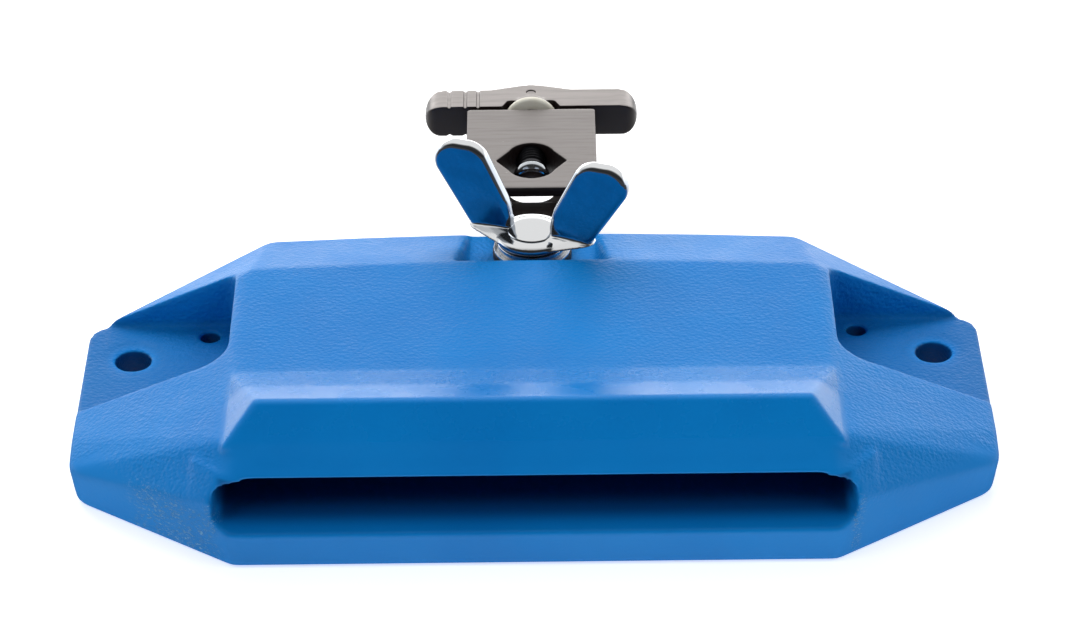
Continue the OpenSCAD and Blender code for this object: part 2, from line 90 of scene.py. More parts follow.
def clearChoice(piece, kind):
    # nothing is selected any more, so that code can pick faces or edges
    pickOnly(piece)
    bpy.ops.object.mode_set(mode="EDIT")
    bpy.ops.mesh.select_mode(type=kind)
    bpy.ops.mesh.select_all(action="DESELECT")
    bpy.ops.object.mode_set(mode="OBJECT")


def selectFaces(piece, wanted):
    # leaves the piece in edit mode with the wanted faces selected
    clearChoice(piece, "FACE")
    for face in piece.data.polygons:
        face.select = wanted(face.center, face.normal)
    bpy.ops.object.mode_set(mode="EDIT")


def selectEdges(piece, wanted):
    # wanted gets both ends of each edge
    clearChoice(piece, "EDGE")
    points = piece.data.vertices
    for edge in piece.data.edges:
        edge.select = wanted(points[edge.vertices[0]].co, points[edge.vertices[1]].co)
    bpy.ops.object.mode_set(mode="EDIT")


def drawOut(move):
    # extrudes what is selected, and moves it
    bpy.ops.mesh.extrude_region_move(TRANSFORM_OT_translate={"value": move})


def bakePlace(piece):
    pickOnly(piece)
    bpy.ops.object.transform_apply(location=True, rotation=True, scale=True)


def applyModifier(piece, kind, **settings):
    pickOnly(piece)
    modifier = piece.modifiers.new(kind.title(), kind)
    for key, value in settings.items():
        setattr(modifier, key, value)
    bpy.ops.object.modifier_apply(modifier=modifier.name)


def closeSeams(piece, distance=mergeGaps["seam"]):
    # corners that meet become one, and every face points outwards
    editAll(piece)
    bpy.ops.mesh.remove_doubles(threshold=distance)
    bpy.ops.mesh.normals_make_consistent(inside=False)
    bpy.ops.object.mode_set(mode="OBJECT")


def shadeByAngle(piece, degrees):
    pickOnly(piece)
    bpy.ops.object.shade_smooth_by_angle(angle=math.radians(degrees))


def copyOfNode(node, name):
    # a copy of one of the frame's solids, with its loose triangles merged
    copy = cadNodes[node].copy()
    copy.data = cadNodes[node].data.copy()
    copy.name = copy.data.name = name
    copy.parent = None
    for key in list(copy.keys()):
        del copy[key]
    bpy.context.scene.collection.objects.link(copy)
    copy.data.materials.clear()
    editAll(copy)
    bpy.ops.mesh.remove_doubles(threshold=mergeGaps["copy"])
    bpy.ops.mesh.dissolve_limited(angle_limit=math.radians(0.1))
    bpy.ops.object.mode_set(mode="OBJECT")
    return copy


def breakEdges(piece, width, steps):
    applyModifier(piece, "BEVEL", width=width * millimetre, segments=steps, limit_method="ANGLE",
                  angle_limit=math.radians(edgeAngle), use_clamp_overlap=True,
                  miter_outer="MITER_ARC", harden_normals=False)


def joinPieces(first, *others):
    pickOnly(first)
    for other in others:
        other.select_set(True)
    bpy.context.view_layer.objects.active = first
    bpy.ops.object.join()
    return bpy.context.active_object


def combine(piece, other, operation):
    # a boolean with a piece that is used up
    applyModifier(piece, "BOOLEAN", object=other, operation=operation, solver="EXACT")
    bpy.data.objects.remove(other, do_unlink=True)
    return piece


def twinOf(piece):
    pickOnly(piece)
    bpy.ops.object.duplicate()
    return bpy.context.active_object


def mirrored(piece):
    # the same piece on the other side of the middle plane
    twin = twinOf(piece)
    twin.scale = (-1, 1, 1)
    bakePlace(twin)
    closeSeams(twin, mergeGaps["twin"])
    return twin


def turnedAbout(piece):
    # the same piece after half a turn about the upright axis
    twin = twinOf(piece)
    twin.rotation_euler = (0, 0, math.pi)
    bakePlace(twin)
    return twin


def oneSkin(piece, sizes):
    # overlapping solids melt into one skin, and its edges go soft as in a mould
    applyModifier(piece, "REMESH", mode="VOXEL", voxel_size=sizes["skin"] * millimetre, adaptivity=0.0)
    applyModifier(piece, "SMOOTH", factor=0.5, iterations=sizes["softening"])
    if "keep" in sizes:
        applyModifier(piece, "DECIMATE", ratio=sizes["keep"])
    pickOnly(piece)
    bpy.ops.object.shade_smooth()


def boxOf(name, middle, size):
    pickNothing()
    bpy.ops.mesh.primitive_cube_add(size=1, location=metres(middle), scale=metres(size))
    box = nameNew(name)
    bakePlace(box)
    return box


def slabOf(name, outline, low, high, along="Z"):
    # a flat outline, drawn out between two heights, or along the block's length
    pickNothing()
    bpy.ops.mesh.primitive_circle_add(vertices=len(outline), radius=1, fill_type="NGON",
                                      location=metres((0, 0, low)))
    slab = nameNew(name)
    bakePlace(slab)
    for point, (across, up) in zip(slab.data.vertices, outline):
        point.co.x, point.co.y = across * millimetre, up * millimetre
    editAll(slab)
    drawOut((0, 0, (high - low) * millimetre))
    bpy.ops.mesh.select_all(action="SELECT")
    bpy.ops.mesh.normals_make_consistent(inside=False)
    bpy.ops.object.mode_set(mode="OBJECT")
    if along == "X":
        slab.rotation_euler = (math.pi / 2, 0, math.pi / 2)     # across becomes Y, up becomes Z
        bakePlace(slab)
    return slab


def finishPiece(piece, material, body, slot, *nodes):
    piece.data.materials.clear()
    piece.data.materials.append(material)
    if nodes:
        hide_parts(*nodes)
    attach(piece, body)
    print("woodblock:", piece.name, len(piece.data.polygons), "faces")


def newFinish(name):
    finish = bpy.data.materials.new(name)
    finish.use_nodes = True
    tree = finish.node_tree
    shader = tree.nodes["Principled BSDF"]
    place = tree.nodes.new("ShaderNodeTexCoord").outputs["Object"]
    return finish, tree, shader, place


def stretched(tree, place, scale, turn=(0, 0, 0), move=(0, 0, 0)):
    node = tree.nodes.new("ShaderNodeMapping")
    node.inputs["Location"].default_value = move
    node.inputs["Rotation"].default_value = [math.radians(angle) for angle in turn]
    node.inputs["Scale"].default_value = scale
    tree.links.new(place, node.inputs["Vector"])
    return node.outputs["Vector"]


def noiseOf(tree, place, scale, detail, rough):
    node = tree.nodes.new("ShaderNodeTexNoise")
    node.inputs["Scale"].default_value = scale
    node.inputs["Detail"].default_value = detail
    node.inputs["Roughness"].default_value = rough
    tree.links.new(place, node.inputs["Vector"])
    return node.outputs["Fac"]


def softCellsOf(tree, place, scale, smooth):
    node = tree.nodes.new("ShaderNodeTexVoronoi")
    node.feature = "SMOOTH_F1"
    node.inputs["Scale"].default_value = scale
    node.inputs["Smoothness"].default_value = smooth
    tree.links.new(place, node.inputs["Vector"])
    return node.outputs["Distance"]


def mathOf(tree, operation, first, second=None, clamp=False):
    node = tree.nodes.new("ShaderNodeMath")
    node.operation = operation
    node.use_clamp = clamp
    for socket, value in zip(node.inputs, (first, second)):
        if value is None:
            continue
        if isinstance(value, (int, float)):
            socket.default_value = value
        else:
            tree.links.new(value, socket)
    return node.outputs["Value"]


def product(tree, first, *others):
    # multiplies any number of values
    for other in others:
        first = mathOf(tree, "MULTIPLY", first, other)
    return first


def largest(tree, first, *others):
    for other in others:
        first = mathOf(tree, "MAXIMUM", first, other)
    return first


def between(tree, value, low, high, toLow=0.0, toHigh=1.0):
    # eases from toLow to toHigh while value goes from low to high
    node = tree.nodes.new("ShaderNodeMapRange")
    node.interpolation_type = "SMOOTHSTEP"
    node.inputs["From Min"].default_value = low
    node.inputs["From Max"].default_value = high
    node.inputs["To Min"].default_value = toLow
    node.inputs["To Max"].default_value = toHigh
    tree.links.new(value, node.inputs["Value"])
    return node.outputs["Result"]


def blendColors(tree, factor, first, second):
    node = tree.nodes.new("ShaderNodeMix")
    node.data_type = "RGBA"
    for socket, value in ((node.inputs[0], factor), (node.inputs[6], first), (node.inputs[7], second)):
        if isinstance(value, (int, float)):
            socket.default_value = value
        elif isinstance(value, tuple):
            socket.default_value = (*value, 1.0)
        else:
            tree.links.new(value, socket)
    return node.outputs[2]


def reliefOf(tree, height, strength, distance, under=None):
    node = tree.nodes.new("ShaderNodeBump")
    node.inputs["Strength"].default_value = strength
    node.inputs["Distance"].default_value = distance
    tree.links.new(height, node.inputs["Height"])
    if under is not None:
        tree.links.new(under, node.inputs["Normal"])
    return node.outputs["Normal"]


def axesOf(tree, place):
    node = tree.nodes.new("ShaderNodeSeparateXYZ")
    tree.links.new(place, node.inputs["Vector"])
    return node.outputs["X"], node.outputs["Y"], node.outputs["Z"]


def upwardsOf(tree):
    # 1 where a face looks up, 0 where it stands upright, -1 where it looks down
    return axesOf(tree, tree.nodes.new("ShaderNodeTexCoord").outputs["Normal"])[2]


mouldedBlueLook = {
    "base": (0.0020, 0.208, 0.610),
    "shade": (0.0015, 0.182, 0.560), "shadeScale": 21.0,
    # painted shade: the deep blue that the chamber, the holes and the pockets' floors are darkened towards
    "inside": (0.0010, 0.030, 0.130),
    "scuff": (0.36, 0.64, 0.88),
    "specular": 0.3,
    "roughness": 0.42, "roughLess": 0.04, "roughMore": 0.06, "roughScale": 95.0,
    "struckSmoother": 0.16, "scuffRougher": 0.3,
    "grainScale": 1100.0, "fineScale": 2100.0, "wavyScale": 320.0,
    "cellStretch": (0.8, 1.0, 1.0), "cellSmooth": 0.6,
    "grainMix": (0.75, 0.55, 0.18),      # cells, fine noise and slow waves
    "grainStrength": 0.75, "grainDepth": 0.00034, "smoothGrain": 0.14,
    "swellScale": 38.0, "swellStrength": 0.25, "swellDepth": 0.0009,
    "scuffScale": 900.0, "scuffStretch": (1.0, 1.0, 2.4), "scuffTurn": (0, 24, 0),
    "scuffPatch": 46.0, "scuffShare": 0.75, "scuffStrength": 0.8, "scuffDepth": 0.0003,
    "scuffSpread": (0.52, 0.62), "leftPatch": (0.38, 0.52), "rightPatch": (0.52, 0.68, 0.0, 0.6),
    "lipPatch": (0.36, 0.50),
    "paintedShadeShare": 0.86, "pocketShadeShare": 0.32,
    # places in metres: an area eases in from the first value to the second
    "behindRidge": (-0.0285, -0.0245), "besideRidge": (0.0735, 0.0790), "aboveParting": (0.0120, 0.0170),
    "leftScuffX": ((-0.1010, -0.0930), (-0.0740, -0.0800)),
    "leftScuffY": (-0.0200, -0.0300), "leftScuffZ": ((0.0170, 0.0120), (0.0006, 0.0020)),
    "rightScuffX": (0.0820, 0.0900), "rightScuffY": (-0.0230, -0.0290), "rightScuffZ": (0.0150, 0.0185),
    "lipEndX": ((0.0755, 0.0775), (0.0835, 0.0800)), "lipEndY": (-0.0530, -0.0550),
    "chamberX": (0.0768, 0.0748), "chamberY": ((-0.0560, -0.0480), (0.0320, 0.0305)),
    "chamberZ": ((0.0228, 0.0222), (0.0096, 0.0102)),
    "holes": ((0.1026, 0.0188, 0.0045), (0.0835, 0.0292, 0.00255)),      # across, along and radius
    "holeEdge": (0.0005, 0.0001), "holeZ": (0.0106, 0.0098),
    "pocketX": (0.0755, 0.0775), "pocketY": ((-0.0080, -0.0040), (0.0352, 0.0342)),
    "pocketZ": ((0.0135, 0.0114), (0.0104, 0.0107)),
    "struckY": (-0.0105, -0.0145), "struckZ": (0.0284, 0.0292),
}


def leatherGrain(tree, look, place, x, y, z):
    # soft cells under a finer noise, gone from the struck ridge and the slot's lips
    wavy = noiseOf(tree, place, look["wavyScale"], 3.0, 0.55)
    cellPlace = stretched(tree, place, look["cellStretch"])
    cells = softCellsOf(tree, cellPlace, look["grainScale"], look["cellSmooth"])
    fine = noiseOf(tree, place, look["fineScale"], 3.0, 0.6)
    cellShare, fineShare, wavyShare = look["grainMix"]
    grain = mathOf(tree, "ADD", product(tree, cells, cellShare), product(tree, fine, fineShare))
    grain = mathOf(tree, "ADD", grain, product(tree, wavy, wavyShare))
    besideRidge = between(tree, mathOf(tree, "ABSOLUTE", x), *look["besideRidge"])
    besideRidge = product(tree, besideRidge, between(tree, z, *look["aboveParting"]))
    grained = largest(tree, between(tree, y, *look["behindRidge"]), besideRidge)
    grained = mathOf(tree, "ADD", product(tree, grained, 1 - look["smoothGrain"]), look["smoothGrain"])
    return product(tree, grain, grained)


def scuffMarks(tree, look, rough, patch, x, y, z):
    # along the front edges and corners, and beside the slot's ends
    fromMiddle = mathOf(tree, "ABSOLUTE", x)
    left = product(tree, *(between(tree, x, *edge) for edge in look["leftScuffX"]),
                   between(tree, z, *look["leftScuffZ"][0]), between(tree, y, *look["leftScuffY"]),
                   between(tree, z, *look["leftScuffZ"][1]), between(tree, patch, *look["leftPatch"]))
    right = product(tree, between(tree, x, *look["rightScuffX"]), between(tree, y, *look["rightScuffY"]),
                    between(tree, z, *look["rightScuffZ"]), between(tree, patch, *look["rightPatch"]))
    lipEnds = product(tree, *(between(tree, fromMiddle, *edge) for edge in look["lipEndX"]),
                      between(tree, y, *look["lipEndY"]), between(tree, patch, *look["lipPatch"]))
    marks = largest(tree, left, right, lipEnds)
    return mathOf(tree, "MULTIPLY", marks, between(tree, rough, *look["scuffSpread"]), clamp=True)


def chamberShade(tree, look, x, y, z):
    # painted shade: the chamber's and the holes' walls are darkened where shade falls inside them
    fromMiddle = mathOf(tree, "ABSOLUTE", x)
    chamber = product(tree, *(between(tree, y, *edge) for edge in look["chamberY"]),
                      between(tree, fromMiddle, *look["chamberX"]),
                      between(tree, z, *look["chamberZ"][0]))
    shade = mathOf(tree, "MULTIPLY", chamber, between(tree, z, *look["chamberZ"][1]), clamp=True)
    outer, inner = look["holeEdge"]
    for holeX, holeY, radius in look["holes"]:
        across = mathOf(tree, "SUBTRACT", fromMiddle, holeX)
        along = mathOf(tree, "SUBTRACT", y, holeY)
        squares = mathOf(tree, "ADD", product(tree, across, across), product(tree, along, along))
        fromHole = mathOf(tree, "SQRT", squares)
        hole = product(tree, between(tree, fromHole, radius + outer, radius + inner),
                       between(tree, z, *look["holeZ"]))
        shade = largest(tree, shade, hole)
    return shade


def pocketShade(tree, look, x, y, z):
    # the pockets' floors lie in their walls' shade
    return product(tree, between(tree, mathOf(tree, "ABSOLUTE", x), *look["pocketX"]),
                   between(tree, z, *look["pocketZ"][0]), between(tree, z, *look["pocketZ"][1]),
                   *(between(tree, y, *edge) for edge in look["pocketY"]))


def mouldedBlue():
    look = mouldedBlueLook
    finish, tree, shader, place = newFinish("mouldedBlue")
    x, y, z = axesOf(tree, place)
    link = tree.links.new

    grain = leatherGrain(tree, look, place, x, y, z)
    normal = reliefOf(tree, grain, look["grainStrength"], look["grainDepth"])
    # slow sink marks, as in any thick moulding
    swell = noiseOf(tree, place, look["swellScale"], 2.0, 0.4)
    normal = reliefOf(tree, swell, look["swellStrength"], look["swellDepth"], normal)

    scuffPlace = stretched(tree, place, look["scuffStretch"], look["scuffTurn"])
    rough = noiseOf(tree, scuffPlace, look["scuffScale"], 6.0, 0.78)
    patch = noiseOf(tree, place, look["scuffPatch"], 3.0, 0.6)
    marks = scuffMarks(tree, look, rough, patch, x, y, z)
    cloud = noiseOf(tree, place, look["shadeScale"], 3.0, 0.5)
    tone = blendColors(tree, between(tree, cloud, 0.30, 0.70), look["shade"], look["base"])
    tone = blendColors(tree, product(tree, marks, look["scuffShare"]), tone, look["scuff"])
    # painted shade: the chamber, the holes and the pockets' floors are darkened towards a deep blue, where
    # shade falls
    inside = product(tree, chamberShade(tree, look, x, y, z), look["paintedShadeShare"])
    tone = blendColors(tree, inside, tone, look["inside"])
    pocket = product(tree, pocketShade(tree, look, x, y, z), look["pocketShadeShare"])
    tone = blendColors(tree, pocket, tone, look["inside"])
    link(tone, shader.inputs["Base Color"])

    # the struck ridge is worn smoother than the rest
    sheen = between(tree, noiseOf(tree, place, look["roughScale"], 4.0, 0.6), 0.25, 0.75,
                    look["roughness"] - look["roughLess"], look["roughness"] + look["roughMore"])
    struck = product(tree, between(tree, y, *look["struckY"]), between(tree, z, *look["struckZ"]))
    sheen = mathOf(tree, "SUBTRACT", sheen, product(tree, struck, look["struckSmoother"]))
    sheen = mathOf(tree, "ADD", sheen, product(tree, marks, look["scuffRougher"]), clamp=True)
    link(sheen, shader.inputs["Roughness"])
    normal = reliefOf(tree, product(tree, marks, rough), look["scuffStrength"], look["scuffDepth"], normal)
    link(normal, shader.inputs["Normal"])
    shader.inputs["Specular IOR Level"].default_value = look["specular"]
    return finish


blackCoatLook = {
    "base": (0.0120, 0.0080, 0.0076),
    "nick": (0.62, 0.61, 0.60),
    "specular": 0.26,
    "paintedSheenMetal": 0.85,                   # how metallic the flats with the painted sheen are
    "flat": (0.55, 0.93),                # how far a face has to look up to get the painted sheen
    "paintedSheenEdge": 0.0008,                # metres over which the painted sheen fades out
    "brush": (22.0, 1500.0, 1500.0),
    "streak": (60.0, 700.0, 700.0), "streakMove": (0.3, 0.1, 0),
    "streakFade": (0.25, 0.60, 0.80, 1.0),
    "speckScale": 1700.0, "speckShare": 0.25,
    "nickScale": 430.0, "nickStretch": (0.5, 1.0, 1.0), "nickFade": (0.70, 0.74),
    "roughLess": 0.05, "roughMore": 0.08,
    "reliefStrength": 0.5, "reliefDepth": 0.00006,
    # finish: brush marks, roughness, share of nicks, painted sheen above this height in metres, painted sheen
    # colour
    "coats": {
        "satinBlackBody": (0.22, 0.42, 0.6, 0.0296, (0.36, 0.335, 0.325)),
        "satinBlackHandle": (0.14, 0.38, 0.0, 0.0, (0.50, 0.465, 0.450)),
    },
}


def blackCoat(name):
    # black paint; the flats that look up above a height get a painted sheen, a lighter metallic colour along
    # the brush lines where the coat catches the light from behind
    look = blackCoatLook
    brushed, roughness, nicks, paintedSheenFrom, paintedSheenTone = look["coats"][name]
    finish, tree, shader, place = newFinish(name)
    link = tree.links.new
    z = axesOf(tree, place)[2]
    brush = noiseOf(tree, stretched(tree, place, look["brush"]), 1.0, 5.0, 0.65)
    streakPlace = stretched(tree, place, look["streak"], (0, 0, 0), look["streakMove"])
    streak = noiseOf(tree, streakPlace, 1.0, 4.0, 0.6)
    speck = noiseOf(tree, place, look["speckScale"], 2.0, 0.5)
    flat = between(tree, mathOf(tree, "ABSOLUTE", upwardsOf(tree)), *look["flat"])
    flat = product(tree, flat, between(tree, z, paintedSheenFrom - look["paintedSheenEdge"], paintedSheenFrom))
    paintedSheenMask = mathOf(tree, "MULTIPLY", flat, between(tree, streak, *look["streakFade"]), clamp=True)
    nickNoise = noiseOf(tree, stretched(tree, place, look["nickStretch"]), look["nickScale"], 3.0, 0.5)
    nickSpots = between(tree, nickNoise, *look["nickFade"], 0.0, nicks)
    # painted sheen: the flats that look up get a lighter, metallic colour
    tone = blendColors(tree, paintedSheenMask, look["base"], paintedSheenTone)
    tone = blendColors(tree, nickSpots, tone, look["nick"])
    link(tone, shader.inputs["Base Color"])
    link(product(tree, paintedSheenMask, look["paintedSheenMetal"]), shader.inputs["Metallic"])
    sheen = between(tree, brush, 0.3, 0.7, roughness - look["roughLess"], roughness + look["roughMore"])
    link(sheen, shader.inputs["Roughness"])
    height = mathOf(tree, "ADD", product(tree, brush, brushed), product(tree, speck, look["speckShare"]))
    link(reliefOf(tree, height, look["reliefStrength"], look["reliefDepth"]), shader.inputs["Normal"])
    shader.inputs["Specular IOR Level"].default_value = look["specular"]
    return finish


brightMetalLook = {
    "dull": 0.86,                        # hazy places are this much darker
    "hazeScale": 170.0,
    "scratch": (160.0, 2300.0, 900.0), "scratchTurn": (12, 0, 31),
    "highlightUpwards": (0.35, 0.90),             # how far a face has to look up for the painted highlight colour
    "scratchShare": 0.2, "hazeShare": 0.4,
    "reliefStrength": 0.12, "scratchStrength": 0.4, "reliefDepth": 0.00004,
    # finish: colour, roughness, scratches, how much rougher it gets, painted highlight colour of faces that
    # look up
    "metals": {
        # brightChrome: the upright faces get a darker chrome as painted shade, and the faces that look up get
        # a painted highlight colour
        "brightChrome": ((0.36, 0.40, 0.46), 0.045, 0.0, 0.06, (0.84, 0.85, 0.86)),
        "zincPlate": ((0.66, 0.67, 0.68), 0.20, 0.3, 0.10, None),
        "polishedPad": ((0.72, 0.76, 0.80), 0.08, 0.0, 0.06, None),
        # near-black metal for the screw, as dark as the rod hole in which it shows
        "darkScrew": ((0.05, 0.05, 0.055), 0.36, 0.2, 0.12, None),
    },
}


def brightMetal(name):
    look = brightMetalLook
    color, roughness, lines, wear, paintedHighlightColor = look["metals"][name]
    finish, tree, shader, place = newFinish(name)
    link = tree.links.new
    shader.inputs["Metallic"].default_value = 1.0
    haze = noiseOf(tree, place, look["hazeScale"], 4.0, 0.6)
    scratchPlace = stretched(tree, place, look["scratch"], look["scratchTurn"])
    scratch = noiseOf(tree, scratchPlace, 1.0, 4.0, 0.6)
    dull = tuple(channel * look["dull"] for channel in color)
    tone = blendColors(tree, between(tree, haze, 0.35, 0.7), color, dull)
    # painted highlight: faces that look up are given a much lighter colour than upright ones
    if paintedHighlightColor:
        tone = blendColors(tree, between(tree, upwardsOf(tree), *look["highlightUpwards"]), tone, paintedHighlightColor)
    link(tone, shader.inputs["Base Color"])
    link(between(tree, haze, 0.3, 0.75, roughness, roughness + wear), shader.inputs["Roughness"])
    height = mathOf(tree, "ADD", product(tree, scratch, look["scratchShare"] + lines),
                    product(tree, haze, look["hazeShare"]))
    strength = look["reliefStrength"] + lines * look["scratchStrength"]
    link(reliefOf(tree, height, strength, look["reliefDepth"]), shader.inputs["Normal"])
    return finish


paleNylonLook = {
    "clear": (0.84, 0.82, 0.72), "cloudy": (0.79, 0.76, 0.65), "cloudScale": 240.0,
    "turned": (300.0, 2600.0, 300.0),        # rings that the lathe left
    "roughness": (0.34, 0.44),
    "reliefStrength": 0.25, "reliefDepth": 0.00005,
}


def paleNylon():
    look = paleNylonLook
    finish, tree, shader, place = newFinish("paleNylon")
    cloud = noiseOf(tree, place, look["cloudScale"], 3.0, 0.5)
    turned = noiseOf(tree, stretched(tree, place, look["turned"]), 1.0, 3.0, 0.5)
    clouded = between(tree, cloud, 0.3, 0.7)
    tone = blendColors(tree, clouded, look["clear"], look["cloudy"])
    tree.links.new(tone, shader.inputs["Base Color"])
    tree.links.new(between(tree, cloud, 0.3, 0.7, *look["roughness"]), shader.inputs["Roughness"])
    relief = reliefOf(tree, turned, look["reliefStrength"], look["reliefDepth"])
    tree.links.new(relief, shader.inputs["Normal"])
    return finish


darkRubberLook = {
    "dark": (0.018, 0.018, 0.019), "dusty": (0.034, 0.033, 0.033), "gritScale": 900.0,
    "roughness": (0.62, 0.80),
    "reliefStrength": 0.4, "reliefDepth": 0.00008,
}


def darkRubber():
    look = darkRubberLook
    finish, tree, shader, place = newFinish("darkRubber")
    grit = noiseOf(tree, place, look["gritScale"], 4.0, 0.6)
    tone = blendColors(tree, between(tree, grit, 0.3, 0.7), look["dark"], look["dusty"])
    tree.links.new(tone, shader.inputs["Base Color"])
    tree.links.new(between(tree, grit, 0.2, 0.8, *look["roughness"]), shader.inputs["Roughness"])
    relief = reliefOf(tree, grit, look["reliefStrength"], look["reliefDepth"])
    tree.links.new(relief, shader.inputs["Normal"])
    return finish


shellFinish = mouldedBlue()
bodyFinish = blackCoat("satinBlackBody")
handleFinish = blackCoat("satinBlackHandle")
chromeFinish = brightMetal("brightChrome")
zincFinish = brightMetal("zincPlate")
nylonFinish = paleNylon()
padFinish = brightMetal("polishedPad")
screwFinish = brightMetal("darkScrew")
rubberFinish = darkRubber()
print("woodblock: finishes ready")


blockSizes = {
    # millimetres
    "shellTop": 28.72,        # above this there is only the ridge
    "mouthMiddle": 16.7,      # height of the slot's middle
    "mouthHalf": 6.1,
    "mouthEnd": 78.6,
    "mouthDepth": (-61.0, -41.0),
    "upperBend": 13.0,        # how far the slot's upper and lower corners bend in
    "lowerBend": 6.0,
    "cornerBeyond": 4.0,      # how far a corner piece reaches past the slot's end
    "cornerAbove": 0.7,       # and past its upper or lower edge
    "cutterBeyond": 8.0,      # how much longer the cutter is than the corner piece
    # eases the ridge into the upper lip, seen from the side
    "brow": [(-43.4, 31.0), (-49.4, 25.6), (-46.4, 25.4), (-43.4, 27.0)],
    "browHalf": 65.0, "browEnd": 72.6, "browFoot": (-46.2, 27.3),
    "browTip": 0.12,          # share of the brow's section that is left at its ends
    "skin": 0.64,             # size of the skin's mesh
    "softening": 12,
    "keep": 0.36,             # share of the skin's faces that stay
}


def mouthCorner(sizes, bend, highlightUpwards):
    # a wedge whose inner side bends as the moulded slot's corner does
    front, back = sizes["mouthDepth"]
    inner = sizes["mouthEnd"] - bend
    outer = sizes["mouthEnd"] + sizes["cornerBeyond"]
    tall = sizes["mouthHalf"] + sizes["cornerAbove"]
    middle = sizes["mouthMiddle"]
    corner = boxOf("mouthCorner", ((inner + outer) / 2, (front + back) / 2, middle + highlightUpwards * tall / 2),
                   (outer - inner, back - front, tall))
    cutterLength = back - front + sizes["cutterBeyond"]
    bpy.ops.mesh.primitive_cylinder_add(vertices=96, radius=1, depth=cutterLength * millimetre,
                                        location=metres((inner, (front + back) / 2, middle)),
                                        rotation=(math.pi / 2, 0, 0))
    bentSide = nameNew("mouthBend")
    bentSide.scale = (bend * millimetre, sizes["mouthHalf"] * millimetre, 1)
    bakePlace(bentSide)
    return combine(corner, bentSide, "DIFFERENCE")


def outerHull(sizes):
    # the shell without its slot, pockets or ridge
    hull = copyOfNode("block_shell", "outerHull")
    editAll(hull)
    bpy.ops.mesh.bisect(plane_co=metres((0, 0, sizes["shellTop"])), plane_no=(0, 0, 1), clear_outer=True)
    bpy.ops.mesh.select_all(action="SELECT")
    bpy.ops.mesh.convex_hull()
    bpy.ops.object.mode_set(mode="OBJECT")
    return hull


def softCorner(sizes, bend, highlightUpwards):
    return combine(mouthCorner(sizes, bend, highlightUpwards), outerHull(sizes), "INTERSECT")


def easedBrow(sizes):
    # a bar whose two ends run out to nothing
    half, end = sizes["browHalf"], sizes["browEnd"]
    footY, footZ = metres(sizes["browFoot"])
    bar = slabOf("brow", sizes["brow"], -half, half, "X")
    nearEnd = half * 0.99 * millimetre
    for side in (-1, 1):
        selectFaces(bar, lambda centre, normal: abs(normal.x) > 0.9 and centre.x * side > nearEnd)
        drawOut((side * (end - half) * millimetre, 0, 0))
        bpy.ops.transform.resize(value=(1, sizes["browTip"], sizes["browTip"]),
                                 center_override=(side * end * millimetre, footY, footZ))
        bpy.ops.object.mode_set(mode="OBJECT")
    return bar


upperCorner = softCorner(blockSizes, blockSizes["upperBend"], 1)
lowerCorner = softCorner(blockSizes, blockSizes["lowerBend"], -1)
brow = easedBrow(blockSizes)
blockBody = joinPieces(copyOfNode("block_shell", "mouldedBlock"), upperCorner, mirrored(upperCorner),
                       lowerCorner, mirrored(lowerCorner), brow)
nameNew("mouldedBlock")
oneSkin(blockBody, blockSizes)
finishPiece(blockBody, shellFinish, "block", "shell_plastic", "block_shell")


wingNutSizes = {
    # millimetres
    "axis": (0.0, 48.2),
    "turn": -20.0,            # degrees from the block's length
    "foot": 27.2,
    # radius and height of each step of the hub's skirt, then of its cap
    "skirt": [(8.3, 0.0), (8.95, 0.45), (9.45, 1.1), (9.6, 1.8), (9.3, 2.5), (8.4, 3.0), (7.2, 3.25),
              (6.6, 3.25)],
    "cap": [(6.45, 2.6), (6.45, 3.35), (6.3, 3.6), (5.9, 3.76), (5.0, 3.92), (3.6, 4.04), (1.8, 4.1)],
    "capSmooth": 30,          # degrees
    # a wing from the side, and how round each of its corners is
    "outline": [(5.2, 2.0), (16.2, 2.2), (27.3, 20.3), (24.0, 26.5), (13.6, 26.5), (6.0, 10.5), (5.2, 5.9)],
    "softCorners": {1: 1.8, 2: 3.0, 3: 3.3, 4: 3.7, 5: 1.6},
    "slabMiddle": (17, 0, 14), "slabSize": (34, 4.2, 30),
    "wingRim": 1.55,
    # lower and upper radius, height and middle of the web's two ends
    "webCollar": (9.0, 5.2, 1.7, 2.05), "webTip": (3.9, 0.9, 1.5, 3.45),
    "webReach": 13.6,
    "skin": 0.25,
    "softening": 6,
}


def turnedPart(name, profile):
    # a disc drawn up step by step, as a turned part is
    pickNothing()
    firstRadius, firstHeight = profile[0]
    bpy.ops.mesh.primitive_circle_add(vertices=96, radius=firstRadius * millimetre, fill_type="NGON",
                                      location=metres((0, 0, firstHeight)))
    part = nameNew(name)
    bakePlace(part)
    editAll(part)
    bpy.ops.mesh.duplicate()          # leaves a floor under what is drawn up
    for (lastRadius, lastHeight), (radius, height) in zip(profile, profile[1:]):
        drawOut((0, 0, (height - lastHeight) * millimetre))
        wider = radius / lastRadius
        bpy.ops.transform.resize(value=(wider, wider, 1), center_override=(0, 0, 0))
    closeSeams(part)
    return part


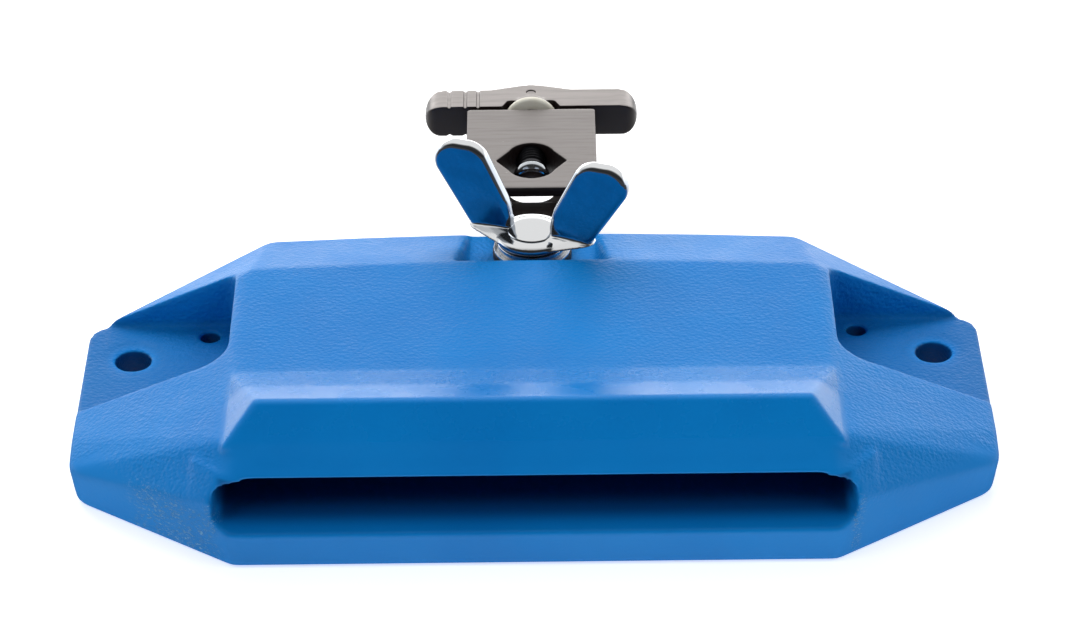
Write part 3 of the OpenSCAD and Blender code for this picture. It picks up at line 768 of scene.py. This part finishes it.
def pressedWing(sizes):
    # a slab cut to the wing's outline, then rounded at its corners and all round its rim
    wing = boxOf("nutWing", sizes["slabMiddle"], sizes["slabSize"])
    outline = sizes["outline"]
    bpy.ops.object.mode_set(mode="EDIT")
    for (fromX, fromZ), (toX, toZ) in zip(outline, outline[1:] + outline[:1]):
        bpy.ops.mesh.select_all(action="SELECT")
        away = Vector((toZ - fromZ, 0, fromX - toX)).normalized()
        bpy.ops.mesh.bisect(plane_co=metres((fromX, 0, fromZ)), plane_no=away,
                            use_fill=True, clear_outer=True)
    closeSeams(wing)
    for corner, soft in sizes["softCorners"].items():
        cornerX, cornerZ = metres(outline[corner])
        selectEdges(wing, lambda *ends: all(abs(end.x - cornerX) < closeBy and abs(end.z - cornerZ) < closeBy
                                            for end in ends))
        bpy.ops.mesh.bevel(offset=soft * millimetre, segments=8, affect="EDGES", clamp_overlap=True)
    half = sizes["slabSize"][1] * millimetre / 2
    selectEdges(wing, lambda one, other: abs(abs(one.y) - half) < veryClose
                and abs(one.y - other.y) < veryClose)
    bpy.ops.mesh.bevel(offset=sizes["wingRim"] * millimetre, segments=5, profile=0.5, clamp_overlap=True)
    bpy.ops.object.mode_set(mode="OBJECT")
    return wing


def webEnd(steps, shape, reach):
    lower, upper, height, middle = metres(shape)
    bpy.ops.mesh.primitive_cone_add(vertices=steps, radius1=lower, radius2=upper, depth=height,
                                    location=(reach * millimetre, 0, middle))


def wingWeb(sizes):
    # the web that spreads a wing's foot over the hub's shoulder
    pickNothing()
    webEnd(72, sizes["webCollar"], 0)
    web = nameNew("nutWeb")
    bakePlace(web)
    bpy.ops.object.mode_set(mode="EDIT")
    webEnd(48, sizes["webTip"], sizes["webReach"])
    bpy.ops.mesh.select_all(action="SELECT")
    bpy.ops.mesh.convex_hull()
    bpy.ops.object.mode_set(mode="OBJECT")
    return web


nutHub = turnedPart("nutHub", wingNutSizes["skirt"])
rightWing = pressedWing(wingNutSizes)
rightWeb = wingWeb(wingNutSizes)
wingNut = joinPieces(nutHub, rightWing, turnedAbout(rightWing), rightWeb, turnedAbout(rightWeb))
nameNew("brightWingNut")
# the parts melt into one cast skin with a small fillet wherever they meet
oneSkin(wingNut, wingNutSizes)
nutCap = turnedPart("nutCap", wingNutSizes["cap"])
shadeByAngle(nutCap, wingNutSizes["capSmooth"])
wingNut = joinPieces(wingNut, nutCap)
wingNut.rotation_euler = Euler((0, 0, math.radians(wingNutSizes["turn"])))
wingNut.location = metres((*wingNutSizes["axis"], wingNutSizes["foot"]))
bakePlace(wingNut)
finishPiece(wingNut, chromeFinish, "nut", "nut_chrome", "wing_nut")


machinedParts = {
    # piece: (node, finish, body, slot, edge width in millimetres, steps)
    "flatWasher": ("nut_washer", zincFinish, "clamp", "washer_steel", 0.12, 2),
    "splitWasher": ("lock_washer", zincFinish, "nut_lift", "washer_steel", 0.2, 2),
    "coachBolt": ("carriage_bolt", zincFinish, "block", "bolt_steel", 0.3, 2),
    "gripRing": ("grip_ring", rubberFinish, "block", "ring_rubber", 0.1, 2),
    "padRing": ("tip_ring", zincFinish, "handle", "spring_steel", 0.1, 2),
    "thrustWasher": ("handle_washer", nylonFinish, "handle", "handle_washer_nylon", 0.3, 3),
    "hubPin": ("handle_pin", handleFinish, "handle", "screw_steel", 0.1, 2),
}

for name, (node, finish, body, slot, edge, steps) in machinedParts.items():
    piece = copyOfNode(node, name)
    breakEdges(piece, edge, steps)
    shadeByAngle(piece, smoothAngle)
    applyModifier(piece, "WEIGHTED_NORMAL", keep_sharp=True)
    finishPiece(piece, finish, body, slot, node)


clampCastingSizes = {"skin": 0.30, "softening": 7, "keep": 0.5}

clampCasting = copyOfNode("clamp_body", "clampCasting")
oneSkin(clampCasting, clampCastingSizes)
finishPiece(clampCasting, bodyFinish, "clamp", "clamp_metal", "clamp_body")


rodPadSizes = {
    # millimetres: radius and height of each step, from the back to the rod's side
    "profile": [(3.2, 0.0), (4.95, 2.0), (5.0, 2.4), (4.93, 2.9), (4.7, 3.35), (4.3, 3.72), (3.7, 4.0),
                (2.9, 4.15), (1.4, 4.2)],
    "back": 86.2, "axisHeight": 25.0,
    "boreRadius": 2.75, "boreDepth": 3.2,
    "smooth": 40,             # degrees
}

rodPad = turnedPart("rodPad", rodPadSizes["profile"])
bpy.ops.mesh.primitive_cylinder_add(vertices=48, radius=rodPadSizes["boreRadius"] * millimetre,
                                    depth=2 * rodPadSizes["boreDepth"] * millimetre)
combine(rodPad, nameNew("padBore"), "DIFFERENCE")
rodPad.rotation_euler = (math.pi / 2, 0, 0)
rodPad.location = metres((0, rodPadSizes["back"], rodPadSizes["axisHeight"]))
bakePlace(rodPad)
shadeByAngle(rodPad, rodPadSizes["smooth"])
finishPiece(rodPad, padFinish, "jaw", "pad_steel", "swivel_pad")


clampScrewSizes = {
    # millimetres
    "threadFrom": 87.2,       # along the screw, from the block's middle
    "threadTo": 112.0,
    "pitch": 1.25,
    "crest": 3.98,
    "root": 3.35,
    "bite": 0.1,              # how deep the ridge sits in the root
    "lead": 0.6,              # where the first turn starts
    "ridgeShare": 0.96,       # width of the ridge's foot against the pitch
    "crestShare": 0.14,       # width of its crest against its foot
    "turnSteps": 40,
    "axisHeight": 25.0,
    "edge": 0.25,             # width of its broken edges
}


def plainEnd(sizes, name, cut, keepsFront):
    # one end of the screw as the frame has it, cut square
    end = copyOfNode("clamp_screw", name)
    breakEdges(end, sizes["edge"], 2)
    editAll(end)
    bpy.ops.mesh.bisect(plane_co=metres((0, cut, 0)), plane_no=(0, 1 if keepsFront else -1, 0),
                        use_fill=True, clear_outer=True)
    bpy.ops.object.mode_set(mode="OBJECT")
    return end


def woundThread(sizes):
    # one ridge's section, wound round the root
    pickNothing()
    high = (sizes["crest"] - sizes["root"] + sizes["bite"]) * millimetre
    middle = (sizes["crest"] + sizes["root"] - sizes["bite"]) / 2 * millimetre
    start = sizes["lead"] * millimetre
    length = sizes["threadTo"] - sizes["threadFrom"]
    bpy.ops.mesh.primitive_plane_add(size=1, location=(middle, 0, start), rotation=(math.pi / 2, 0, 0))
    ridge = nameNew("screwThread")
    ridge.scale = (high, sizes["pitch"] * sizes["ridgeShare"] * millimetre, 1)
    bakePlace(ridge)
    selectEdges(ridge, lambda one, other: min(one.x, other.x) > middle)
    bpy.ops.transform.resize(value=(1, 1, sizes["crestShare"]), center_override=(middle, 0, start))
    bpy.ops.mesh.select_all(action="SELECT")
    bpy.ops.mesh.delete(type="ONLY_FACE")
    turns = int(length / sizes["pitch"]) - 1
    applyModifier(ridge, "SCREW", axis="Z", screw_offset=sizes["pitch"] * millimetre, iterations=turns,
                  steps=sizes["turnSteps"], render_steps=sizes["turnSteps"], use_smooth_shade=True)
    editAll(ridge)
    bpy.ops.mesh.remove_doubles(threshold=mergeGaps["thread"])
    bpy.ops.mesh.fill_holes(sides=0)
    bpy.ops.mesh.select_all(action="SELECT")
    bpy.ops.mesh.normals_make_consistent(inside=False)
    bpy.ops.object.mode_set(mode="OBJECT")
    bpy.ops.mesh.primitive_cylinder_add(vertices=64, radius=sizes["root"] * millimetre,
                                        depth=(length + 1) * millimetre,
                                        location=(0, 0, length / 2 * millimetre))
    root = nameNew("screwRoot")
    bakePlace(root)
    thread = joinPieces(ridge, root)
    thread.rotation_euler = (-math.pi / 2, 0, 0)
    thread.location = metres((0, sizes["threadFrom"], sizes["axisHeight"]))
    bakePlace(thread)
    return thread


screwTip = plainEnd(clampScrewSizes, "screwTip", clampScrewSizes["threadFrom"], True)
screwHead = plainEnd(clampScrewSizes, "screwHead", clampScrewSizes["threadTo"], False)
clampScrew = joinPieces(screwTip, screwHead, woundThread(clampScrewSizes))
nameNew("clampScrew")
shadeByAngle(clampScrew, smoothAngle)
finishPiece(clampScrew, screwFinish, "handle", "screw_steel", "clamp_screw")


tHandleSizes = {
    # millimetres: the shoulder beside the washer is seen from above
    "shoulder": [(7.9, 114.2), (13.0, 114.2), (13.0, 118.0), (5.0, 118.2), (6.6, 117.0)],
    "low": 20.3, "high": 29.7,
    "skin": 0.27, "softening": 7,
}

handleShoulder = slabOf("handleShoulder", tHandleSizes["shoulder"], tHandleSizes["low"], tHandleSizes["high"])
tHandle = joinPieces(copyOfNode("t_handle", "tHandle"), handleShoulder, mirrored(handleShoulder))
nameNew("tHandle")
oneSkin(tHandle, tHandleSizes)
finishPiece(tHandle, handleFinish, "handle", "handle_metal", "t_handle")


tablePlan = {
    "size": 6, "height": -0.0004,            # metres
    "paper": ((0.80, 0.80, 0.80), (0.83, 0.83, 0.83)), "paperScale": 60.0,
    "roughness": 0.9, "specular": 0.1,
    "seen": 0.62, "fill": 0.85,              # its own glow for the camera and for matte faces
    "nearGloss": (0.10, 0.10, 0.10),         # the near table as gloss shows it
    "farGlow": 1.5, "farFrom": (0.02, 0.16),     # the far table's glow in gloss, and where it sets in
}


def whiteTable():
    plan = tablePlan
    pickNothing()
    bpy.ops.mesh.primitive_plane_add(size=plan["size"], location=(0, 0, plan["height"]))
    table = nameNew("whiteTable")
    bakePlace(table)
    finish, tree, shader, place = newFinish("tablePaper")
    link = tree.links.new
    path = tree.nodes.new("ShaderNodeLightPath")
    paper = blendColors(tree, noiseOf(tree, place, plan["paperScale"], 3.0, 0.5), *plan["paper"])
    # the near table lies in the dark of the room, and gloss shows it so
    farSide = between(tree, axesOf(tree, place)[1], *plan["farFrom"])
    reflected = blendColors(tree, farSide, plan["nearGloss"], plan["paper"][0])
    tone = blendColors(tree, path.outputs["Is Glossy Ray"], paper, reflected)
    link(tone, shader.inputs["Base Color"])
    shader.inputs["Roughness"].default_value = plan["roughness"]
    shader.inputs["Specular IOR Level"].default_value = plan["specular"]
    glow = tree.nodes.new("ShaderNodeEmission")
    strength = largest(tree, product(tree, path.outputs["Is Camera Ray"], plan["seen"]),
                       product(tree, path.outputs["Is Diffuse Ray"], plan["fill"]),
                       product(tree, path.outputs["Is Glossy Ray"], farSide, plan["farGlow"]))
    link(strength, glow.inputs["Strength"])
    both = tree.nodes.new("ShaderNodeAddShader")
    link(shader.outputs["BSDF"], both.inputs[0])
    link(glow.outputs["Emission"], both.inputs[1])
    link(both.outputs["Shader"], tree.nodes["Material Output"].inputs["Surface"])
    table.data.materials.append(finish)


lampPlan = {
    # lamp: (place, size, power), in metres and watts
    "overLamp": ((-0.20, 0.88, 0.98), (1.4, 0.7), 15.5),
    "leftLamp": ((-0.80, -0.55, 1.05), (0.5, 0.6), 4.8),
    "rightLamp": ((0.80, -0.55, 1.05), (0.5, 0.6), 4.8),
}
lampAim = (0, 0.02, 0.02)


def softLamp(name, place, size, power):
    lamp = bpy.data.lights.new(name, "AREA")
    lamp.shape = "RECTANGLE"
    lamp.size, lamp.size_y = size
    lamp.energy = power
    holder = bpy.data.objects.new(name, lamp)
    holder.location = place
    holder.rotation_euler = (Vector(lampAim) - Vector(place)).to_track_quat("-Z", "Y").to_euler()
    holder.visible_glossy = False      # smooth faces see the room, not the lamps
    bpy.context.scene.collection.objects.link(holder)


roomPlan = {
    # the room's own light for matte faces, from front to back
    "fill": (0.05, 0.36), "fillFrom": (-0.60, 0.60),
    # what smooth faces see low and high behind, and how much of it is left in front
    "gloss": (2.4, 0.85), "glossFrom": (0.10, 0.38),
    "frontGloss": 0.05, "frontFrom": (-0.35, 0.20),
}


def plainRoom():
    plan = roomPlan
    world = bpy.data.worlds.new("studio")
    bpy.context.scene.world = world
    world.use_nodes = True
    tree = world.node_tree
    sky = tree.nodes["Background"]
    sky.inputs["Color"].default_value = (1, 1, 1, 1)
    path = tree.nodes.new("ShaderNodeLightPath")
    lookY, lookZ = axesOf(tree, tree.nodes.new("ShaderNodeTexCoord").outputs["Generated"])[1:]
    gloss = product(tree, between(tree, lookZ, *plan["glossFrom"], *plan["gloss"]),
                    between(tree, lookY, *plan["frontFrom"], plan["frontGloss"], 1.0))
    fill = between(tree, lookY, *plan["fillFrom"], *plan["fill"])
    strength = largest(tree, path.outputs["Is Camera Ray"],
                       product(tree, path.outputs["Is Glossy Ray"], gloss),
                       product(tree, path.outputs["Is Diffuse Ray"], fill))
    tree.links.new(strength, sky.inputs["Strength"])


whiteTable()
for name, (place, size, power) in lampPlan.items():
    softLamp(name, place, size, power)
plainRoom()


cameraPlan = {
    "place": (0.002086, -0.805773, 0.555949),        # metres
    "turn": (57.0504, 0.5959, -0.2533),              # degrees
    "lens": 130.06, "sensor": 36,                    # millimetres
    "nearest": 0.01,
}

lens = bpy.data.cameras.new("photoCamera")
lens.sensor_width = cameraPlan["sensor"]
lens.lens = cameraPlan["lens"]
lens.clip_start = cameraPlan["nearest"]
photoCamera = bpy.data.objects.new("photoCamera", lens)
photoCamera.location = cameraPlan["place"]
photoCamera.rotation_euler = [math.radians(angle) for angle in cameraPlan["turn"]]
bpy.context.scene.collection.objects.link(photoCamera)
bpy.context.scene.camera = photoCamera
bpy.context.scene.view_settings.view_transform = "Standard"
print("woodblock: light and camera ready")
